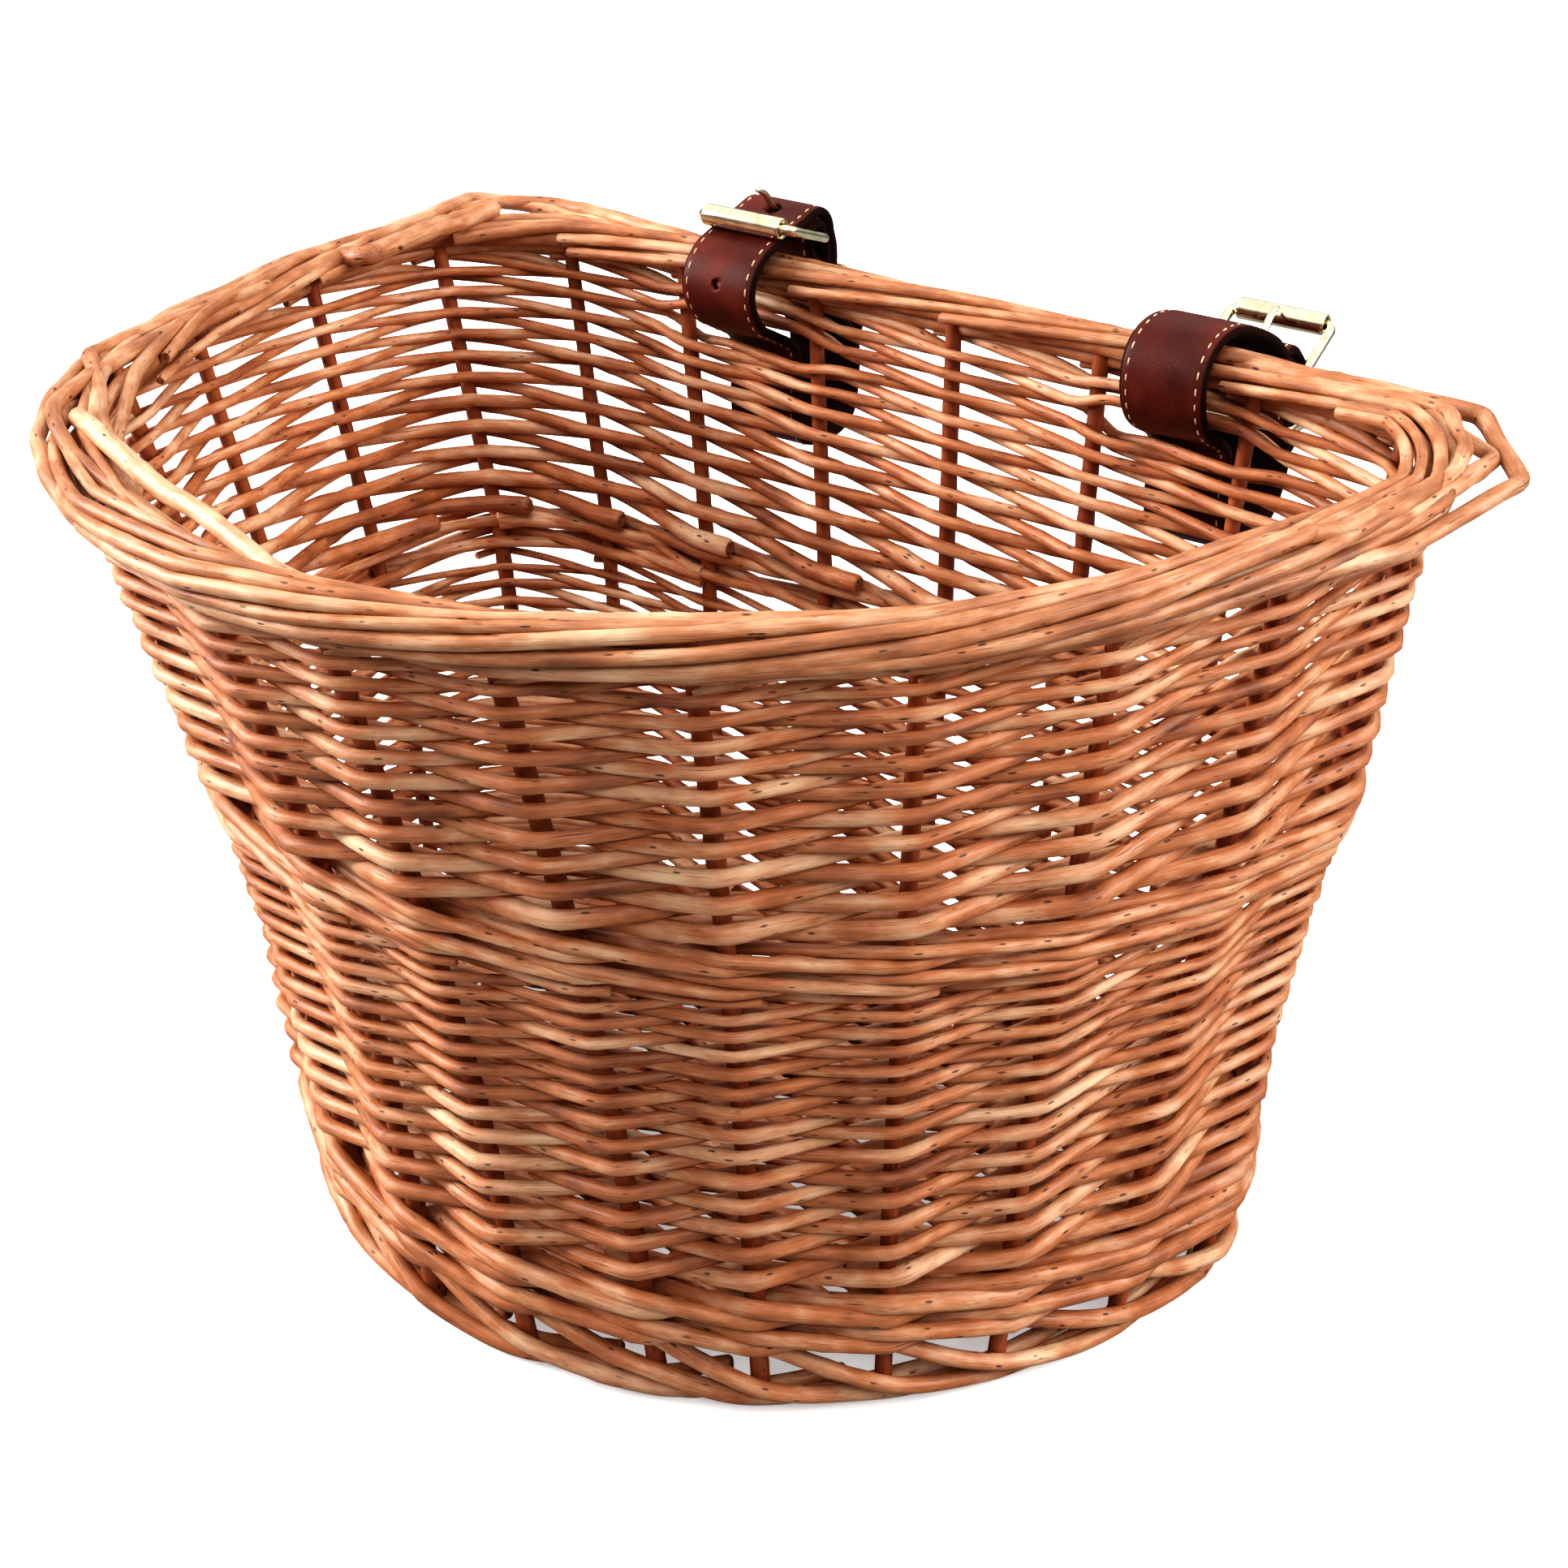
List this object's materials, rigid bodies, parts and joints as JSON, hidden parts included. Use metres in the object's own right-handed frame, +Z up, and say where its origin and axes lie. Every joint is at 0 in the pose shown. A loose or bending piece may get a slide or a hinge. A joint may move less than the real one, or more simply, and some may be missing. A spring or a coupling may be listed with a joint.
{
  "type": "handlebar basket",
  "caption": "D-shaped woven willow basket with a flat back and two buckled leather straps that loop round a bicycle handlebar.",
  "frame": {"origin": "middle of the overall box, at floor level", "axes": "+Z up, +Y towards the handlebar behind the flat back, -Y towards the bowed front, +X to the right seen from the front"},
  "size_m": [0.3435, 0.3278, 0.2596],
  "materials": {
    "willow": "peeled and boiled willow rods, clear varnish",
    "willow_pale": "thick willow rods, clear varnish",
    "willow_dark": "willow stakes, clear varnish",
    "leather": "stitched red-brown strap leather, satin",
    "nickel": "bright nickel plate"
  },
  "bodies": {
    "basket": {"foot_border": "willow", "lower_wale": "willow_pale", "lower_weave": "willow", "mid_wale": "willow_pale", "upper_weave": "willow", "rim_border": "willow_pale", "base_weave": "willow_pale", "stake_01": "willow_dark", "stake_02": "willow_dark", "stake_03": "willow_dark", "stake_04": "willow_dark", "stake_05": "willow_dark", "stake_06": "willow_dark", "stake_07": "willow_dark", "stake_08": "willow_dark", "stake_09": "willow_dark", "stake_10": "willow_dark", "stake_11": "willow_dark", "stake_12": "willow_dark", "stake_13": "willow_dark", "stake_14": "willow_dark", "stake_15": "willow_dark", "stake_16": "willow_dark", "stake_17": "willow_dark", "stake_18": "willow_dark", "stake_19": "willow_dark", "stake_20": "willow_dark", "stake_21": "willow_dark", "base_stick_1": "willow_dark", "base_stick_2": "willow_dark", "base_stick_3": "willow_dark", "base_stick_4": "willow_dark", "base_stick_5": "willow_dark", "base_stick_6": "willow_dark", "base_stick_7": "willow_dark"},
    "left_strap": {"strap_left": "leather"},
    "left_frame": {"buckle_frame_left": "nickel"},
    "left_roller": {"buckle_roller_left": "nickel"},
    "left_prong": {"buckle_prong_left": "nickel"},
    "left_keeper": {"keeper_left": "nickel"},
    "right_strap": {"strap_right": "leather"},
    "right_frame": {"buckle_frame_right": "nickel"},
    "right_roller": {"buckle_roller_right": "nickel"},
    "right_prong": {"buckle_prong_right": "nickel"},
    "right_keeper": {"keeper_right": "nickel"}
  },
  "joints": [
    {"name": "left_strap_shift", "type": "slide", "parent": "basket", "child": "left_strap", "axis": [1, 0, 0], "range_m": [-0.003, 0.003]},
    {"name": "left_frame_lift", "type": "hinge", "parent": "left_strap", "child": "left_frame", "pos_m": [-0.06168, 0.11733, 0.245], "axis": [-1, 0, 0], "range_deg": [0, 12]},
    {"name": "left_roller_turn", "type": "hinge", "parent": "left_frame", "child": "left_roller", "pos_m": [-0.06168, 0.09742, 0.25166], "axis": [1, 0, 0], "continuous": true},
    {"name": "left_prong_tilt", "type": "hinge", "parent": "left_strap", "child": "left_prong", "pos_m": [-0.06168, 0.11733, 0.245], "axis": [-1, 0, 0], "range_deg": [-3, 3]},
    {"name": "left_keeper_slide", "type": "slide", "parent": "left_strap", "child": "left_keeper", "axis": [0, 0, 1], "range_m": [-0.004, 0.002]},
    {"name": "right_strap_shift", "type": "slide", "parent": "basket", "child": "right_strap", "axis": [1, 0, 0], "range_m": [-0.003, 0.003]},
    {"name": "right_frame_lift", "type": "hinge", "parent": "right_strap", "child": "right_frame", "pos_m": [0.07732, 0.14243, 0.2247], "axis": [-1, 0, 0], "range_deg": [0, 40]},
    {"name": "right_roller_turn", "type": "hinge", "parent": "right_frame", "child": "right_roller", "pos_m": [0.07732, 0.16076, 0.23494], "axis": [1, 0, 0], "continuous": true},
    {"name": "right_prong_tilt", "type": "hinge", "parent": "right_strap", "child": "right_prong", "pos_m": [0.07732, 0.14243, 0.2247], "axis": [-1, 0, 0], "range_deg": [-3, 3]},
    {"name": "right_keeper_slide", "type": "slide", "parent": "right_strap", "child": "right_keeper", "axis": [0, 0, 1], "range_m": [-0.003, 0.002]}
  ]
}
